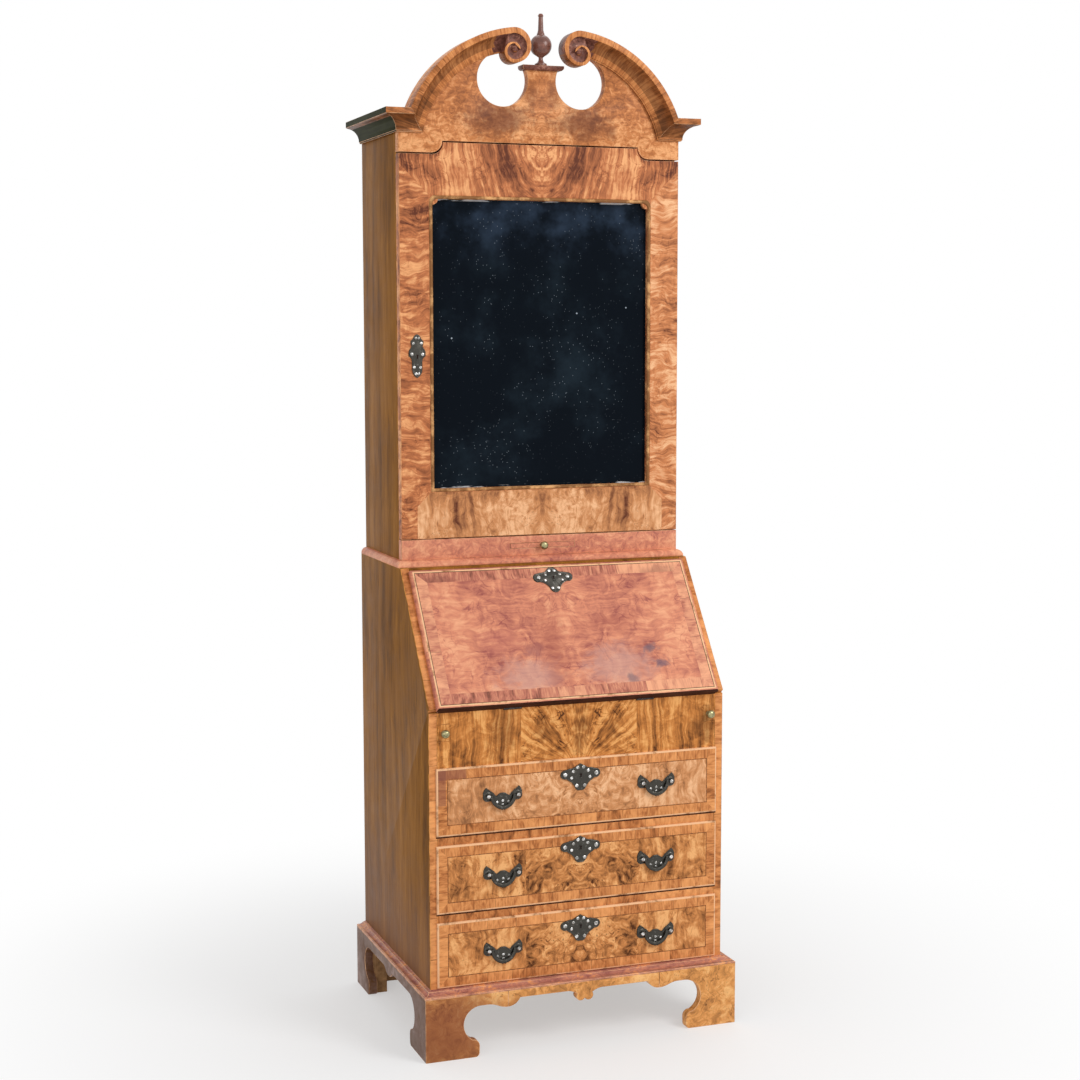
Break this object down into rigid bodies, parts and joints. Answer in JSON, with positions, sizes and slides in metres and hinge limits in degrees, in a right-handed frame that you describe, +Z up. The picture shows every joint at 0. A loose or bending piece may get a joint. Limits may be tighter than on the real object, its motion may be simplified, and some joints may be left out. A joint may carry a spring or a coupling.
{
  "type": "bureau cabinet",
  "caption": "Walnut bureau cabinet with a swan-neck pediment, mirrored door, sloping fall, full-width drawers and shaped bracket feet.",
  "frame": {"origin": "on the floor under the middle of the plinth", "axes": "+X to the right of someone facing the front, +Y to the back, +Z up"},
  "size_m": [0.731, 0.561, 2.231],
  "materials": {
    "burr_walnut": "waxed",
    "walnut": "waxed",
    "oak": "dry",
    "mirror": "foxed",
    "gilt": "gilded",
    "dark_bronze": "patinated",
    "iron": "dull"
  },
  "bodies": {
    "carcase": {"front_brackets": "burr_walnut", "front_apron": "burr_walnut", "side_brackets": "walnut", "rear_feet": "oak", "plinth_moulding": "walnut", "bureau_side_left": "walnut", "bureau_side_right": "walnut", "bureau_bottom": "oak", "bureau_back": "oak", "drawer_dividers": "walnut", "frieze_panel": "burr_walnut", "loper_guides": "oak", "writing_bed": "walnut", "bureau_top": "walnut", "waist_moulding": "walnut", "pigeonholes": "walnut", "cabinet_side_left": "walnut", "cabinet_side_right": "walnut", "cabinet_top_and_floor": "oak", "cabinet_back": "oak", "cabinet_shelves": "oak", "frieze_rail": "burr_walnut", "cornice": "walnut", "tympanum": "burr_walnut", "swan_neck_left": "walnut", "swan_neck_right": "walnut", "pediment_cap": "walnut", "finial": "walnut", "hinge_plates": "iron"},
    "door": {"door_frame": "burr_walnut", "mirror_bead": "gilt", "mirror_plate": "mirror", "door_backboard": "oak", "door_escutcheon": "dark_bronze", "door_ironwork": "iron"},
    "fall": {"fall_board": "burr_walnut", "fall_escutcheon": "dark_bronze", "fall_ironwork": "iron"},
    "loper_left": {"loper_left": "walnut"},
    "loper_right": {"loper_right": "walnut"},
    "candle_slide": {"candle_slide": "walnut"},
    "well_cover": {"well_cover": "walnut"},
    "inner_drawer_left": {"inner_drawer_left": "oak"},
    "inner_drawer_right": {"inner_drawer_right": "oak"},
    "bottom_drawer": {"bottom_drawer_front": "burr_walnut", "bottom_drawer_box": "oak", "bottom_drawer_mounts": "dark_bronze"},
    "bottom_drawer_bail_left": {"bottom_drawer_bail_left": "dark_bronze"},
    "bottom_drawer_bail_right": {"bottom_drawer_bail_right": "dark_bronze"},
    "middle_drawer": {"middle_drawer_front": "burr_walnut", "middle_drawer_box": "oak", "middle_drawer_mounts": "dark_bronze"},
    "middle_drawer_bail_left": {"middle_drawer_bail_left": "dark_bronze"},
    "middle_drawer_bail_right": {"middle_drawer_bail_right": "dark_bronze"},
    "top_drawer": {"top_drawer_front": "burr_walnut", "top_drawer_box": "oak", "top_drawer_mounts": "dark_bronze"},
    "top_drawer_bail_left": {"top_drawer_bail_left": "dark_bronze"},
    "top_drawer_bail_right": {"top_drawer_bail_right": "dark_bronze"}
  },
  "joints": [
    {"name": "door_hinge", "type": "hinge", "parent": "carcase", "child": "door", "pos_m": [0.3286, 0.00425, 1.5], "axis": [0, 0, 1], "range_deg": [0, 110]},
    {"name": "fall_hinge", "type": "hinge", "parent": "carcase", "child": "fall", "pos_m": [0, -0.2475, 0.7435], "axis": [1, 0, 0], "range_deg": [0, 126.5]},
    {"name": "loper_left_slide", "type": "slide", "parent": "carcase", "child": "loper_left", "axis": [0, -1, 0], "range_m": [0, 0.24]},
    {"name": "loper_right_slide", "type": "slide", "parent": "carcase", "child": "loper_right", "axis": [0, -1, 0], "range_m": [0, 0.24]},
    {"name": "candle_slide_slide", "type": "slide", "parent": "carcase", "child": "candle_slide", "axis": [0, -1, 0], "range_m": [0, 0.12]},
    {"name": "well_cover_slide", "type": "slide", "parent": "carcase", "child": "well_cover", "axis": [0, 1, 0], "range_m": [0, 0.15]},
    {"name": "inner_drawer_left_slide", "type": "slide", "parent": "carcase", "child": "inner_drawer_left", "axis": [0, -1, 0], "range_m": [0, 0.15]},
    {"name": "inner_drawer_right_slide", "type": "slide", "parent": "carcase", "child": "inner_drawer_right", "axis": [0, -1, 0], "range_m": [0, 0.15]},
    {"name": "bottom_drawer_slide", "type": "slide", "parent": "carcase", "child": "bottom_drawer", "axis": [0, -1, 0], "range_m": [0, 0.38]},
    {"name": "bottom_drawer_bail_left_swing", "type": "hinge", "parent": "bottom_drawer", "child": "bottom_drawer_bail_left", "pos_m": [-0.178, -0.2585, 0.2215], "axis": [-1, 0, 0], "range_deg": [0, 80]},
    {"name": "bottom_drawer_bail_right_swing", "type": "hinge", "parent": "bottom_drawer", "child": "bottom_drawer_bail_right", "pos_m": [0.178, -0.2585, 0.2215], "axis": [-1, 0, 0], "range_deg": [0, 80]},
    {"name": "middle_drawer_slide", "type": "slide", "parent": "carcase", "child": "middle_drawer", "axis": [0, -1, 0], "range_m": [0, 0.38]},
    {"name": "middle_drawer_bail_left_swing", "type": "hinge", "parent": "middle_drawer", "child": "middle_drawer_bail_left", "pos_m": [-0.178, -0.2585, 0.389], "axis": [-1, 0, 0], "range_deg": [0, 80]},
    {"name": "middle_drawer_bail_right_swing", "type": "hinge", "parent": "middle_drawer", "child": "middle_drawer_bail_right", "pos_m": [0.178, -0.2585, 0.389], "axis": [-1, 0, 0], "range_deg": [0, 80]},
    {"name": "top_drawer_slide", "type": "slide", "parent": "carcase", "child": "top_drawer", "axis": [0, -1, 0], "range_m": [0, 0.38]},
    {"name": "top_drawer_bail_left_swing", "type": "hinge", "parent": "top_drawer", "child": "top_drawer_bail_left", "pos_m": [-0.178, -0.2585, 0.5587], "axis": [-1, 0, 0], "range_deg": [0, 80]},
    {"name": "top_drawer_bail_right_swing", "type": "hinge", "parent": "top_drawer", "child": "top_drawer_bail_right", "pos_m": [0.178, -0.2585, 0.5587], "axis": [-1, 0, 0], "range_deg": [0, 80]}
  ]
}
